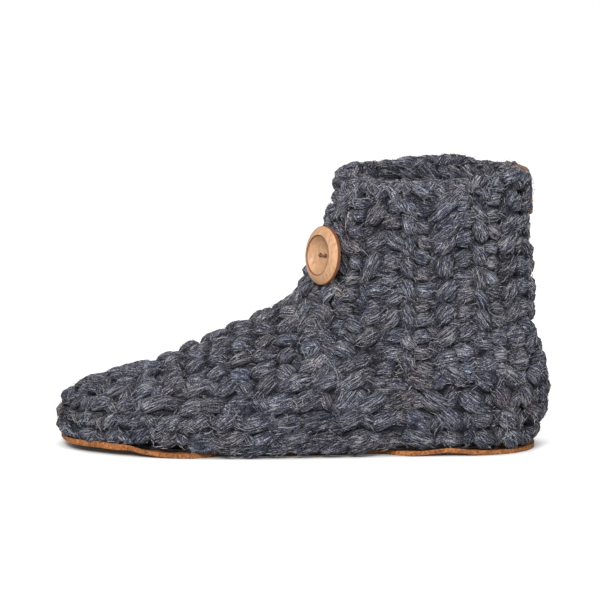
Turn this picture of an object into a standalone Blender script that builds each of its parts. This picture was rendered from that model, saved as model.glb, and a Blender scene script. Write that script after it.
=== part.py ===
"""A crocheted wool ankle slipper for the left foot, standing empty on its leather sole.

The toe points to -X, the outer side of the foot is -Y and +Z is up.
The origin lies on the floor, under the middle of the slipper. All lengths are in metres.
"""

import math

import bpy
from mathutils import Matrix, Vector

# Overall sizes of the knitted upper
LENGTH = 0.258
BALL_WIDTH = 0.106
SHAFT_WIDTH = 0.084
INSTEP_HEIGHT = 0.084
COLLAR_HEIGHT = 0.146
WALL = 0.008
WIDEST_HEIGHT = 0.017

# Round ends of the plan outline, and how far the bottom edge is tucked in
TOE_ROUND = 0.052
HEEL_ROUND = 0.042
TUCK_SHARE = 0.07
ROUND_POWER = 2.2

# The drape of the collar: lower on the outer side, and towards the front
COLLAR_SWAY = 0.0022
COLLAR_DIP = 0.0024

# The outer part of the wall hangs beside the leather: its width, and the width of its inner slope
SKIRT = 0.004
SKIRT_SLOPE = 0.0004

# Leather sole and felt insole
SOLE_THICKNESS = 0.0022
SOLE_LIP = 0.0008
TOE_SPRING = 0.0032
INSOLE_THICKNESS = 0.004
INSOLE_CLEARANCE = 0.0004

# Turned wooden button
BUTTON_DIAMETER = 0.0306
BUTTON_BACK_DIAMETER = 0.026
BUTTON_EDGE_FOOT = 0.0007
BUTTON_EDGE_TOP = 0.0021
BUTTON_CREST_DIAMETER = 0.0214
BUTTON_CREST_HEIGHT = 0.0049
BUTTON_DISH_DIAMETER = 0.0085
BUTTON_DISH_FLOOR = 0.0014
BUTTON_HOLE_DIAMETER = 0.0024
BUTTON_HOLE_SPACING = 0.0052
BUTTON_HEIGHT = 0.1022
BUTTON_AROUND = 0.0255
BUTTON_TURN = math.radians(33)
BUTTON_TILT = math.radians(6)
THREAD_DIAMETER = 0.0011

# Leather tab folded over the back of the collar
TAB_WIDTH = 0.018
TAB_THICKNESS = 0.0012
TAB_OUTER_DROP = 0.022
TAB_INNER_DROP = 0.015
TAB_PRESS = 0.0015

# Clearances between pieces, and between the knitted edge and the floor
SEAM_GAP = 0.0003
FLOOR_GAP = 0.0004

# Fineness of the faceted solids
AROUND = 88
LEVELS = 32
RIM_STEPS = 4
TAB_COLUMNS = 6
DENSE = 240
SLOPE_SHARE = 0.55

# Horizontal sections of the foot, from the floor to the instep.
# rise: share of INSTEP_HEIGHT; toe and heel: shares of LENGTH in from each end; leg: share of SHAFT_WIDTH
FOOT_SECTIONS = (
    # rise, toe, heel, leg
    (0.000, 0.0190, 0.039, 0.90),
    (0.036, 0.0100, 0.033, 0.92),
    (0.095, 0.0030, 0.022, 0.94),
    (0.190, 0.0000, 0.010, 0.97),
    (0.286, 0.0070, 0.004, 0.98),
    (0.345, 0.0230, 0.001, 0.985),
    (0.405, 0.0560, 0.000, 0.985),
    (0.469, 0.1130, 0.003, 0.98),
    (0.551, 0.2100, 0.008, 0.97),
    (0.620, 0.2585, 0.018, 0.96),
    (0.764, 0.3550, 0.032, 0.95),
    (0.845, 0.4040, 0.033, 0.95),
    (0.930, 0.4570, 0.031, 0.955),
    (1.000, 0.4825, 0.031, 0.96),
)

# Horizontal sections of the shaft. rise: share of the height from the instep to the collar
SHAFT_SECTIONS = (
    # rise, toe, heel, leg
    (0.120, 0.4990, 0.034, 0.97),
    (0.260, 0.5155, 0.036, 0.985),
    (0.420, 0.5290, 0.039, 1.00),
    (0.580, 0.5395, 0.043, 1.00),
    (0.740, 0.5500, 0.044, 1.00),
    (0.870, 0.5620, 0.045, 0.99),
    (1.000, 0.5756, 0.047, 0.976),
)

# Plan of the foot. along: share of LENGTH from the toe; width: share of BALL_WIDTH;
# swing: sideways shift of the middle line towards the inner side, as a share of BALL_WIDTH
PLAN = (
    # along, width, swing
    (0.00, 0.850, 0.060),
    (0.12, 0.900, 0.045),
    (0.21, 0.953, 0.020),
    (0.31, 1.000, 0.000),
    (0.42, 0.972, -0.010),
    (0.50, 0.930, -0.012),
    (0.58, 0.885, -0.008),
    (0.67, 0.830, 0.000),
    (0.77, 0.785, 0.000),
    (0.87, 0.772, 0.000),
    (1.00, 0.764, 0.000),
)

# The foot's width gives way to the leg's above this share of INSTEP_HEIGHT, and its swing above this one.
# The sections turn into ovals from this share of INSTEP_HEIGHT up to this share of the shaft.
LEG_START_SHARE = 0.45
SWING_END_SHARE = 0.3
OVAL_START_SHARE = 0.8
OVAL_FULL_SHARE = 0.35

# Shares of LENGTH between which the leather edge slips under the knit, behind the toe and before the heel
SOLE_HIDDEN_SHARES = (0.26, 0.33)
SOLE_SHOWN_SHARES = (0.65, 0.72)

# Shares of LENGTH between which the sole rises to the toe
SPRING_START_SHARE = 0.24
SPRING_FULL_SHARE = 0.085


def smooth_step(low, high, value):
    """0 below low, 1 above high, with an even ramp between them."""
    share = min(1.0, max(0.0, (value - low) / (high - low)))
    return share * share * (3 - 2 * share)


def mix(a, b, share):
    return a + (b - a) * share


def read_table(rows, key, column):
    """A smooth curve through one column of a table whose first column rises."""
    last = len(rows) - 1
    if key <= rows[0][0]:
        return rows[0][column]
    if key >= rows[last][0]:
        return rows[last][column]
    k = next(n for n in range(last) if rows[n + 1][0] >= key)
    span = rows[k + 1][0] - rows[k][0]
    share = (key - rows[k][0]) / span

    def slope(n):
        """Slope at row n, flat where the column turns, so that the curve never overshoots."""
        if n in (0, last):
            return 0.0 if n == 0 else (rows[n][column] - rows[n - 1][column]) / (rows[n][0] - rows[n - 1][0])
        before = (rows[n][column] - rows[n - 1][column]) / (rows[n][0] - rows[n - 1][0])
        after = (rows[n + 1][column] - rows[n][column]) / (rows[n + 1][0] - rows[n][0])
        return 0.0 if before * after <= 0 else 2 * before * after / (before + after)

    h = share * share * (3 - 2 * share)
    start = rows[k][column] + slope(k) * span * share * (1 - share) ** 2
    end_pull = slope(k + 1) * span * share * share * (share - 1)
    return start + (rows[k + 1][column] - rows[k][column]) * h + end_pull


def upper_sections():
    """Every section as height, front x, back x and full leg width, in metres."""
    rows = [(rise * INSTEP_HEIGHT, toe, heel, leg) for rise, toe, heel, leg in FOOT_SECTIONS]
    shaft = COLLAR_HEIGHT - INSTEP_HEIGHT
    rows += [(INSTEP_HEIGHT + rise * shaft, toe, heel, leg) for rise, toe, heel, leg in SHAFT_SECTIONS]
    return [
        (height, (toe - 0.5) * LENGTH, (0.5 - heel) * LENGTH, leg * SHAFT_WIDTH)
        for height, toe, heel, leg in rows
    ]


SECTIONS = upper_sections()


def front_x(z):
    return read_table(SECTIONS, z, 1)


def back_x(z):
    return read_table(SECTIONS, z, 2)


def vamp_line():
    """The front outline above the toe as (x, height) rows, for reading its height at an x."""
    steps = 120
    heights = [mix(WIDEST_HEIGHT, COLLAR_HEIGHT, k / steps) for k in range(steps + 1)]
    rows = []
    for z in heights:
        x = front_x(z)
        if not rows or x > rows[-1][0] + 1e-6:
            rows.append((x, z))
    return rows


VAMP = vamp_line()


def vamp_height(x):
    """Height of the front outline at x. Behind the collar's front it goes on rising in a straight line."""
    if x <= VAMP[0][0]:
        return VAMP[0][1]
    if x >= VAMP[-1][0]:
        (x_a, z_a), (x_b, z_b) = VAMP[-8], VAMP[-1]
        return z_b + (x - x_b) * (z_b - z_a) / (x_b - x_a)
    k = next(n for n in range(len(VAMP) - 1) if VAMP[n + 1][0] >= x)
    share = (x - VAMP[k][0]) / (VAMP[k + 1][0] - VAMP[k][0])
    return mix(VAMP[k][1], VAMP[k + 1][1], share)


def along_of(x):
    """Share of LENGTH from the toe."""
    return x / LENGTH + 0.5


def closing(distance, reach, power):
    """1 where distance from the end is over reach, falling to 0 at the end in a round curve."""
    left = min(1.0, max(0.0, (reach - distance) / reach))
    return (1 - left**power) ** (1 / power)


def shaft_share(z):
    """0 in the foot, 1 in the shaft, whose sections are ovals."""
    return smooth_step(OVAL_START_SHARE * INSTEP_HEIGHT, mix(INSTEP_HEIGHT, COLLAR_HEIGHT, OVAL_FULL_SHARE), z)


def half_width(x, z):
    """Half of the section's width at x, at height z."""
    low = max(0.0, (WIDEST_HEIGHT - z) / WIDEST_HEIGHT)
    foot = read_table(PLAN, along_of(x), 1) * BALL_WIDTH / 2 * (1 - TUCK_SHARE * low * low)
    leg = read_table(SECTIONS, z, 3) / 2
    full = mix(foot, leg, smooth_step(LEG_START_SHARE * INSTEP_HEIGHT, INSTEP_HEIGHT, z))
    middle = (back_x(z) - front_x(z)) / 2
    nose = closing(x - front_x(min(z, WIDEST_HEIGHT)), TOE_ROUND, ROUND_POWER)
    if z > WIDEST_HEIGHT:
        over = (z - WIDEST_HEIGHT) / max(1e-6, vamp_height(x) - WIDEST_HEIGHT)
        nose *= math.sqrt(max(0.0, 1 - over * over))
    oval = closing(x - front_x(z), middle, 2)
    in_shaft = shaft_share(z)
    heel = closing(back_x(z) - x, mix(HEEL_ROUND, middle, in_shaft), mix(ROUND_POWER, 2, in_shaft))
    return full * mix(nose, oval, in_shaft) * heel


def swing(x, z):
    """Sideways shift of the section's middle line, which the shaft doesn't have."""
    low = 1 - smooth_step(SWING_END_SHARE * INSTEP_HEIGHT, INSTEP_HEIGHT, z)
    return read_table(PLAN, along_of(x), 2) * BALL_WIDTH * low


def even_points(line, count):
    """count + 1 points spaced evenly along a line of points, its ends included."""
    reached = [0.0]
    for a, b in zip(line, line[1:]):
        reached.append(reached[-1] + math.dist(a, b))
    points = []
    k = 0
    for n in range(count + 1):
        wanted = reached[-1] * n / count
        while k < len(line) - 2 and reached[k + 1] < wanted:
            k += 1
        share = (wanted - reached[k]) / max(1e-12, reached[k + 1] - reached[k])
        points.append(tuple(mix(a, b, share) for a, b in zip(line[k], line[k + 1])))
    return points


def ring(z):
    """The closed outer section at height z: from the front round the inner side to the back, and home."""
    steps = DENSE // 2
    front, back = front_x(z), back_x(z)
    xs = [mix(front, back, (1 - math.cos(math.pi * k / steps)) / 2) for k in range(steps + 1)]
    half = [(x, half_width(x, z) if 0 < k < steps else 0.0) for k, x in enumerate(xs)]
    half = even_points(half, AROUND // 2)
    inner_side = [Vector((x, swing(x, z) + y, z)) for x, y in half]
    outer_side = [Vector((x, swing(x, z) - y, z)) for x, y in half[-2:0:-1]]
    return inner_side + outer_side


def level_heights():
    """Heights of the sections, close together where the vamp slopes gently."""
    top = COLLAR_HEIGHT - WALL / 2
    heights = [top * k / DENSE for k in range(DENSE + 1)]
    line = [(SLOPE_SHARE * front_x(z), z) for z in heights]
    return [z for _, z in even_points(line, LEVELS)]


def spring(x):
    """How far the sole's underside has risen above the floor at x."""
    return TOE_SPRING * smooth_step(SPRING_START_SHARE, SPRING_FULL_SHARE, along_of(x))


def sole_inset(x):
    """How far the leather's edge lies inside the knit's outer face."""
    along = along_of(x)
    shows = 1 - smooth_step(*SOLE_HIDDEN_SHARES, along) + smooth_step(*SOLE_SHOWN_SHARES, along)
    return mix(SKIRT + SKIRT_SLOPE + SEAM_GAP, -SOLE_LIP, shows)


def over_sole(x):
    """Height just above the leather at x."""
    return spring(x) + SOLE_THICKNESS + SEAM_GAP


def skirt_lifts(bottom):
    """Height of the skirt's edge: above the leather where that reaches under it, else just off the floor."""
    under = [sole_inset(p.x) < SKIRT + SEAM_GAP for p in bottom]
    count = len(bottom)
    lifts = []
    for i, p in enumerate(bottom):
        covered = under[i - 1] or under[i] or under[(i + 1) % count]
        lifts.append(over_sole(p.x) if covered else FLOOR_GAP)
    return lifts


def draped(p):
    """The point after the collar has sagged: lower on the outer side, at the front and under the tab."""
    high = (p.z / COLLAR_HEIGHT) ** 4
    front, back = front_x(COLLAR_HEIGHT), back_x(COLLAR_HEIGHT)
    forward = min(1.0, max(0.0, (back - p.x) / (back - front)))
    side = p.y / (SHAFT_WIDTH / 2)
    pressed = smooth_step(0.5, 1.0, 1 - forward) * smooth_step(1.2 * TAB_WIDTH, 0.5 * TAB_WIDTH, abs(p.y))
    sag = COLLAR_SWAY * side - COLLAR_DIP * forward**2 - TAB_PRESS * pressed
    return Vector((p.x, p.y, p.z + high * sag))


def outer_grid():
    """Rings of the outer face, from the skirt's edge to the start of the rim, centred over the origin."""
    rings = [ring(z) for z in level_heights()]
    lifts = skirt_lifts(rings[0])
    across = [p.y for level in rings for p in level]
    off_centre = (min(across) + max(across)) / 2
    fade = 2 * WIDEST_HEIGHT
    for level in rings:
        for i, p in enumerate(level):
            raised = p.z + lifts[i] * max(0.0, 1 - p.z / fade)
            level[i] = draped(Vector((p.x, p.y - off_centre, raised)))
    return rings


def grid_normals(rings):
    """Outward normals of the outer face, laid level at the bottom edge and at the collar."""
    top = len(rings) - 1
    count = len(rings[0])
    flat_below = WIDEST_HEIGHT
    flat_above = 2 * WALL
    normals = []
    for j, level in enumerate(rings):
        row = []
        for i in range(count):
            around = level[(i + 1) % count] - level[i - 1]
            upward = rings[min(j + 1, top)][i] - rings[max(j - 1, 0)][i]
            normal = upward.cross(around).normalized()
            z = level[i].z
            normal.z *= smooth_step(0.0, flat_below, z - rings[0][i].z)
            normal.z *= smooth_step(0.0, flat_above, rings[top][i].z - z)
            row.append(normal.normalized())
        normals.append(row)
    return normals


OUTER = outer_grid()
NORMALS = grid_normals(OUTER)


def wall_point(i, j, depth):
    """A point at this depth below the smooth outer face."""
    return OUTER[j][i % AROUND] - NORMALS[j][i % AROUND] * depth


def rim_point(i, step, proud=0.0):
    """A point of the round rim, from the outer face (step 0) to the inner face (step RIM_STEPS)."""
    middle = wall_point(i, LEVELS, WALL / 2)
    angle = math.pi * step / RIM_STEPS
    outward = NORMALS[LEVELS][i % AROUND]
    radius = WALL / 2 + proud
    return middle + outward * (radius * math.cos(angle)) + Vector((0, 0, radius * math.sin(angle)))


def edge_point(i, depth):
    """A point of the wall's edge that lies on the leather, at this depth below the outer face."""
    p = wall_point(i, 0, depth)
    return Vector((p.x, p.y, over_sole(p.x)))


def material(name, colour, roughness, metallic=0.0):
    made = bpy.data.materials.new(name)
    made.use_nodes = True
    shader = made.node_tree.nodes["Principled BSDF"]
    shader.inputs["Base Color"].default_value = (*colour, 1)
    shader.inputs["Roughness"].default_value = roughness
    shader.inputs["Metallic"].default_value = metallic
    made.diffuse_color = (*colour, 1)
    return made


def linked(name, data, collection, finish):
    """A new object in the collection, with its material."""
    obj = bpy.data.objects.new(name, data)
    data.materials.append(finish)
    collection.objects.link(obj)
    return obj


def band(ring_a, ring_b):
    """Faces between two rings of vertex numbers, where ring_b has as many or half as many."""
    count = len(ring_a)
    if len(ring_b) == count:
        return [
            (ring_a[i], ring_b[i], ring_b[(i + 1) % count], ring_a[(i + 1) % count])
            for i in range(count)
        ]
    faces = []
    for m in range(len(ring_b)):
        a, b, c = (ring_a[(2 * m + k) % count] for k in range(3))
        near, far = ring_b[m], ring_b[(m + 1) % len(ring_b)]
        faces += [(a, near, b), (b, near, far), (b, far, c)]
    return faces


def shade(mesh, sharp=math.radians(40)):
    mesh.shade_smooth()
    mesh.set_sharp_from_angle(angle=sharp)


def loft_loop(name, rings):
    """A closed wall through rings that return to the first, as round a hollow."""
    points = []
    numbers = []
    for level in rings:
        numbers.append(range(len(points), len(points) + len(level)))
        points += level
    faces = []
    for a, b in zip(numbers, [*numbers[1:], numbers[0]]):
        faces += band(a, b) if len(a) >= len(b) else [face[::-1] for face in band(b, a)]
    mesh = bpy.data.meshes.new(name)
    mesh.from_pydata([tuple(p) for p in points], [], faces)
    shade(mesh)
    return mesh


def build_upper(collection):
    """One hollow knitted wall, open at the collar and underneath, where the sole closes it."""
    coarse = range(0, AROUND, 2)
    rings = [level.copy() for level in OUTER]
    rings += [[rim_point(i, step) for i in range(AROUND)] for step in range(1, RIM_STEPS + 1)]
    rings += [[wall_point(i, j, WALL) for i in coarse] for j in range(LEVELS - 2, 0, -2)]
    rings.append([edge_point(i, WALL) for i in coarse])
    rings.append([edge_point(i, SKIRT + SKIRT_SLOPE) for i in range(AROUND)])
    rings.append([wall_point(i, 0, SKIRT) for i in range(AROUND)])
    wool = material("charcoal_wool", (0.09, 0.09, 0.11), 0.95)
    return linked("upper", loft_loop("upper", rings), collection, wool)


def plate_outline(inset, stride):
    """Every stride-th point of the bottom outline, moved inwards by inset(x)."""
    outline = []
    for i in range(0, AROUND, stride):
        q = wall_point(i, 0, inset(OUTER[0][i].x))
        outline.append((q.x, q.y))
    return outline


def plate(name, outline, base, thickness, collection, finish):
    """A flat plate in strips across the foot, so that it can follow the toe spring."""
    count = len(outline)
    points = [(x, y, spring(x) + base) for x, y in outline]
    faces = [(0, 1, count - 1)]
    faces += [(k, k + 1, count - k - 1, count - k) for k in range(1, count // 2 - 1)]
    faces.append((count // 2 - 1, count // 2, count // 2 + 1))
    mesh = bpy.data.meshes.new(name)
    mesh.from_pydata(points, [], faces)
    obj = linked(name, mesh, collection, finish)
    solidify = obj.modifiers.new("thickness", "SOLIDIFY")
    solidify.thickness = thickness
    solidify.offset = -1
    return obj


def build_sole(collection):
    """Leather outsole: its edge shows at the toe and heel, and lies inside the knit between them."""
    leather = material("tan_suede", (0.36, 0.17, 0.06), 0.85)
    return plate("sole", plate_outline(sole_inset, 1), 0.0, SOLE_THICKNESS, collection, leather)


def build_insole(collection):
    """Felt footbed that lies on the sole, inside the knit."""
    felt = material("grey_felt", (0.16, 0.16, 0.18), 0.95)
    outline = plate_outline(lambda x: WALL + INSOLE_CLEARANCE, 2)
    base = SOLE_THICKNESS + SEAM_GAP
    return plate("insole", outline, base, INSOLE_THICKNESS, collection, felt)


def button_frame():
    """Place and directions of the button: its seat on the knit, its face direction and its level direction."""
    face = Vector((
        -math.cos(BUTTON_TURN) * math.cos(BUTTON_TILT),
        -math.sin(BUTTON_TURN) * math.cos(BUTTON_TILT),
        math.sin(BUTTON_TILT),
    ))
    level = min(range(LEVELS + 1), key=lambda j: abs(OUTER[j][0].z - BUTTON_HEIGHT))
    across = Vector((0, 0, 1)).cross(face).normalized()
    outer_side = [wall_point(-i, level, 0) for i in range(AROUND // 4)]
    reached = 0.0
    for a, b in zip(outer_side, outer_side[1:]):
        step = (b - a).length
        if reached + step > BUTTON_AROUND:
            break
        reached += step
    middle = a.lerp(b, (BUTTON_AROUND - reached) / step)
    middle.z = BUTTON_HEIGHT
    return middle, face, across


def back_rise(radius):
    """How far the button's back has risen at this radius."""
    flat, rim = BUTTON_BACK_DIAMETER / 2, BUTTON_DIAMETER / 2
    return BUTTON_EDGE_FOOT * max(0.0, (radius - flat) / (rim - flat))


def seated(middle, face):
    """The button's back, moved along its face direction until it clears the knit behind it by the seam gap."""
    near = [
        (j, i)
        for j in range(LEVELS)
        for i in range(-AROUND // 4, AROUND // 4)
        if (OUTER[j][i] - middle).length < BUTTON_DIAMETER
    ]
    parts = 6
    highest = -WALL
    for j, i in near:
        for up in range(parts):
            left = OUTER[j][i].lerp(OUTER[j + 1][i], up / parts)
            right = OUTER[j][i + 1].lerp(OUTER[j + 1][i + 1], up / parts)
            for across in range(parts):
                p = left.lerp(right, across / parts) - middle
                height = p.dot(face)
                radius = (p - face * height).length
                if radius < BUTTON_DIAMETER / 2:
                    highest = max(highest, height - back_rise(radius))
    return middle + face * (highest + SEAM_GAP)


def button_matrix():
    """Turns the button's own axes (X level, Z out of its face) to their place on the slipper."""
    middle, face, across = button_frame()
    place = seated(middle, face)
    columns = Matrix((across, face.cross(across), face)).transposed()
    return Matrix.Translation(place) @ columns.to_4x4()


def build_button(collection, cutters):
    """Round wooden button: a sloping border up to a crest, a dished middle and two holes."""
    dish, crest, rim = BUTTON_DISH_DIAMETER / 2, BUTTON_CREST_DIAMETER / 2, BUTTON_DIAMETER / 2
    floor, top, edge = BUTTON_DISH_FLOOR, BUTTON_CREST_HEIGHT, BUTTON_EDGE_TOP
    profile = (
        (0.0, floor),
        (dish, floor + 0.02 * floor),
        (mix(dish, crest, 0.50), mix(floor, top, 0.36)),
        (mix(dish, crest, 0.85), mix(floor, top, 0.78)),
        (crest, top),
        (mix(crest, rim, 0.45), mix(edge, top, 0.68)),
        (mix(crest, rim, 0.85), mix(edge, top, 0.24)),
        (rim, edge),
        (rim, BUTTON_EDGE_FOOT),
        (BUTTON_BACK_DIAMETER / 2, 0.0),
        (0.0, 0.0),
    )
    mesh = bpy.data.meshes.new("button")
    edges = [(k, k + 1) for k in range(len(profile) - 1)]
    mesh.from_pydata([(r, 0, h) for r, h in profile], edges, [])
    button = linked("button", mesh, collection, material("beech_wood", (0.60, 0.33, 0.15), 0.45))
    screw = button.modifiers.new("turned", "SCREW")
    screw.steps = screw.render_steps = 40
    screw.use_merge_vertices = True
    screw.merge_threshold = 0.00001
    screw.use_normal_calculate = True
    matrix = button_matrix()
    button.matrix_world = matrix
    for side in (-1, 1):
        bpy.ops.mesh.primitive_cylinder_add(
            vertices=16, radius=BUTTON_HOLE_DIAMETER / 2, depth=3 * BUTTON_CREST_HEIGHT
        )
        drill = bpy.context.object
        drill.name = "button_drill_left" if side < 0 else "button_drill_right"
        for holder in drill.users_collection:
            holder.objects.unlink(drill)
        cutters.objects.link(drill)
        drill.data.transform(Matrix.Translation((side * BUTTON_HOLE_SPACING / 2, 0, 0)))
        drill.matrix_world = matrix
        drill.hide_render = True
        drill.display_type = "WIRE"
        cut = button.modifiers.new(drill.name, "BOOLEAN")
        cut.operation = "DIFFERENCE"
        cut.object = drill
    return button


def build_thread(collection):
    """The thread that sews the button on: up one hole, over the dish and down the other."""
    half = BUTTON_HOLE_SPACING / 2
    over = BUTTON_DISH_FLOOR + THREAD_DIAMETER / 2 + 0.0004
    bend = 0.0006
    route = (
        (-half, 0.0),
        (-half, over - bend),
        (-half + 0.3 * bend, over - 0.3 * bend),
        (-half + bend, over),
        (half - bend, over),
        (half - 0.3 * bend, over - 0.3 * bend),
        (half, over - bend),
        (half, 0.0),
    )
    curve = bpy.data.curves.new("button_thread", "CURVE")
    curve.dimensions = "3D"
    curve.bevel_depth = THREAD_DIAMETER / 2
    curve.bevel_resolution = 2
    curve.use_fill_caps = True
    spline = curve.splines.new("POLY")
    spline.points.add(len(route) - 1)
    for point, (x, h) in zip(spline.points, route):
        point.co = (x, 0, h, 1)
    thread = linked("button_thread", curve, collection, material("dark_thread", (0.05, 0.035, 0.03), 0.8))
    thread.matrix_world = button_matrix()
    return thread


def tab_profile(i):
    """The folded tab's inside face over the collar at station i, from its outer end to its inner end."""
    proud = SEAM_GAP
    top = LEVELS
    points = []
    steps = 4
    for k in range(steps):
        drop = TAB_OUTER_DROP * (1 - k / steps)
        height = OUTER[top][i % AROUND].z - drop + WALL / 2
        j = max(n for n in range(LEVELS) if OUTER[n][i % AROUND].z <= height)
        span = OUTER[j + 1][i % AROUND].z - OUTER[j][i % AROUND].z
        share = (height - OUTER[j][i % AROUND].z) / span
        points.append(wall_point(i, j, -proud).lerp(wall_point(i, j + 1, -proud), share))
    points += [rim_point(i, step, proud) for step in range(RIM_STEPS + 1)]
    inside = points[-1]
    inner_leg = TAB_INNER_DROP - WALL / 2
    lean = (wall_point(i, LEVELS - 3, 0) - wall_point(i, LEVELS, 0)).normalized()
    points += [inside + lean * (inner_leg * k / 2) for k in (1, 2)]
    return points


def build_tab(collection):
    """Leather tab folded over the back of the collar, following the knit's own face."""
    spacing = (OUTER[LEVELS][AROUND // 2] - OUTER[LEVELS][AROUND // 2 - 1]).length
    columns = []
    for c in range(TAB_COLUMNS + 1):
        off = TAB_WIDTH * (c / TAB_COLUMNS - 0.5) / spacing
        low = math.floor(off)
        near, far = (tab_profile(AROUND // 2 + low + k) for k in (0, 1))
        columns.append([a.lerp(b, off - low) for a, b in zip(near, far)])
    rows = len(columns[0])
    points = [tuple(p) for column in columns for p in column]
    faces = [
        (c * rows + r, c * rows + r + 1, (c + 1) * rows + r + 1, (c + 1) * rows + r)
        for c in range(TAB_COLUMNS)
        for r in range(rows - 1)
    ]
    mesh = bpy.data.meshes.new("collar_tab")
    mesh.from_pydata(points, [], faces)
    tab = linked("collar_tab", mesh, collection, material("brown_leather", (0.30, 0.13, 0.05), 0.6))
    solidify = tab.modifiers.new("thickness", "SOLIDIFY")
    solidify.thickness = TAB_THICKNESS
    solidify.offset = 1
    solidify.use_even_offset = True
    shade(mesh)
    return tab


def main():
    for old in list(bpy.data.objects):
        bpy.data.objects.remove(old)
    slipper = bpy.data.collections.new("wool_slipper")
    cutters = bpy.data.collections.new("cutters")
    for collection in (slipper, cutters):
        bpy.context.scene.collection.children.link(collection)
    build_sole(slipper)
    build_insole(slipper)
    build_upper(slipper)
    build_button(slipper, cutters)
    build_thread(slipper)
    build_tab(slipper)


main()
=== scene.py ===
"""Looks of a crocheted wool ankle slipper with a suede sole and a wooden button.

Laid out as an add-on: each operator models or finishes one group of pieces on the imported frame.
The toe points to -X, the outer side of the left foot is -Y and +Z is up. All lengths are in metres.
"""

import math

import bpy
import numpy as np
from bpy.props import FloatProperty, FloatVectorProperty, IntProperty, PointerProperty
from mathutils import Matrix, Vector
from mathutils.bvhtree import BVHTree
from mathutils.interpolate import poly_3d_calc


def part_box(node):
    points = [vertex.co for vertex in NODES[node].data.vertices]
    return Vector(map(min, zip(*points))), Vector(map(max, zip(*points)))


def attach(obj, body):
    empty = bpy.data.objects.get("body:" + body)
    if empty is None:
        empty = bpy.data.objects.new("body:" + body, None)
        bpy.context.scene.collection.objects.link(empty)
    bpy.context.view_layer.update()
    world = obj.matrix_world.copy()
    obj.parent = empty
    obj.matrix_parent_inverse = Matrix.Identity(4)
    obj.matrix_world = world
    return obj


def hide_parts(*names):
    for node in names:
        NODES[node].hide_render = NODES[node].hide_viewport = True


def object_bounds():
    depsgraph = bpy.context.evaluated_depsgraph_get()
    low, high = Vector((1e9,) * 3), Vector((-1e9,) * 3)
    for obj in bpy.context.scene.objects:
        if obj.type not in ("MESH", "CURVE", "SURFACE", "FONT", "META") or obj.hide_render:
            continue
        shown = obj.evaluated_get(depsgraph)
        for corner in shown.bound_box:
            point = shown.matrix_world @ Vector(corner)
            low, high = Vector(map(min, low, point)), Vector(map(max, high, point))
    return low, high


bl_info = {
    "name": "Crocheted wool slipper",
    "version": (1, 0, 0),
    "blender": (4, 5, 0),
    "location": "View3D > Sidebar > Slipper",
    "description": "Crocheted wool, suede sole and wooden button of an ankle slipper",
    "category": "Object",
}

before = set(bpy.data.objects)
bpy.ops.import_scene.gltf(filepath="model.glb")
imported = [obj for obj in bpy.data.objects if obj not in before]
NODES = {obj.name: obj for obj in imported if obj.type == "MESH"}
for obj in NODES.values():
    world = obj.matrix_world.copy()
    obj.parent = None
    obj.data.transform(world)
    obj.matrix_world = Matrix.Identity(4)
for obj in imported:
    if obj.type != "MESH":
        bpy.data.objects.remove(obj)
CAD_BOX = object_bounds()
UP = Vector((0, 0, 1))

# Where the foot's parts meet, along X, and the middle line that the rows turn round at toe and heel
TOE_TURN = Vector((-0.085, 0.004, 0.0))
HEEL_TURN = Vector((0.086, 0.0, 0.0))
BAND_FLOOR = 0.008
SKIRT_REACH = (-0.052, 0.046)
SOLE_EDGE = 0.0022
CREASE_TOP = Vector((-0.002, 0.0, 0.084))
CREASE_FOOT = Vector((0.012, 0.0, 0.046))
SHAFT_MIDDLE = 0.062
RAY_START = 0.3


class YarnSettings(bpy.types.PropertyGroup):
    row: FloatProperty(
        name="Row", description="Height of one row of the foot", default=0.0112, subtype="DISTANCE"
    )
    rows: IntProperty(name="Rows", description="Rows that run right round the foot", default=4)
    pitch: FloatProperty(
        name="Pitch", description="Length of one stitch along a row", default=0.0165, subtype="DISTANCE"
    )
    thick: FloatProperty(
        name="Thickness", description="Thickness of a strand of yarn", default=0.0078, subtype="DISTANCE"
    )
    dark: FloatVectorProperty(
        name="Dark fibre", description="Colour of the wool's dark fibres", subtype="COLOR",
        default=(0.0140, 0.0142, 0.0195),
    )
    middle: FloatVectorProperty(
        name="Main fibre", description="Colour of most of the wool", subtype="COLOR",
        default=(0.0338, 0.0346, 0.0505),
    )
    light: FloatVectorProperty(
        name="Light fibre", description="Colour of the wool's light fibres", subtype="COLOR",
        default=(0.186, 0.182, 0.190),
    )
    hairs: IntProperty(name="Hairs", description="Loose hairs on the wool", default=18000)
    seed: IntProperty(name="Seed", description="Seed of the stitches' small differences", default=7)


class TrimSettings(bpy.types.PropertyGroup):
    suede: FloatVectorProperty(
        name="Suede", description="Colour of the suede sole", subtype="COLOR", default=(0.185, 0.071, 0.023)
    )
    wave: FloatProperty(name="Wave", description="Strength of the waves in the sole's edge", default=1.0)
    tab: FloatVectorProperty(
        name="Tab leather", description="Colour of the collar tab", subtype="COLOR", default=(0.15, 0.062, 0.026)
    )
    wood: FloatVectorProperty(
        name="Wood", description="Colour of the button", subtype="COLOR", default=(0.31, 0.182, 0.104)
    )
    burnt: FloatVectorProperty(
        name="Burnt line", description="Colour of the ring cut in the button", subtype="COLOR",
        default=(0.10, 0.032, 0.010),
    )
    felt: FloatVectorProperty(
        name="Felt", description="Colour of the insole", subtype="COLOR", default=(0.10, 0.10, 0.115)
    )


class StageSettings(bpy.types.PropertyGroup):
    distance: FloatProperty(
        name="Distance", description="Camera's distance from the slipper", default=3.0, subtype="DISTANCE"
    )
    elevation: FloatProperty(
        name="Elevation", description="Angle from which the camera looks down", default=math.radians(7.5),
        subtype="ANGLE",
    )
    width: FloatProperty(
        name="Width", description="Width that the picture takes in", default=0.3127, subtype="DISTANCE"
    )


def deselect():
    bpy.ops.object.select_all(action="DESELECT")


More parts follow.
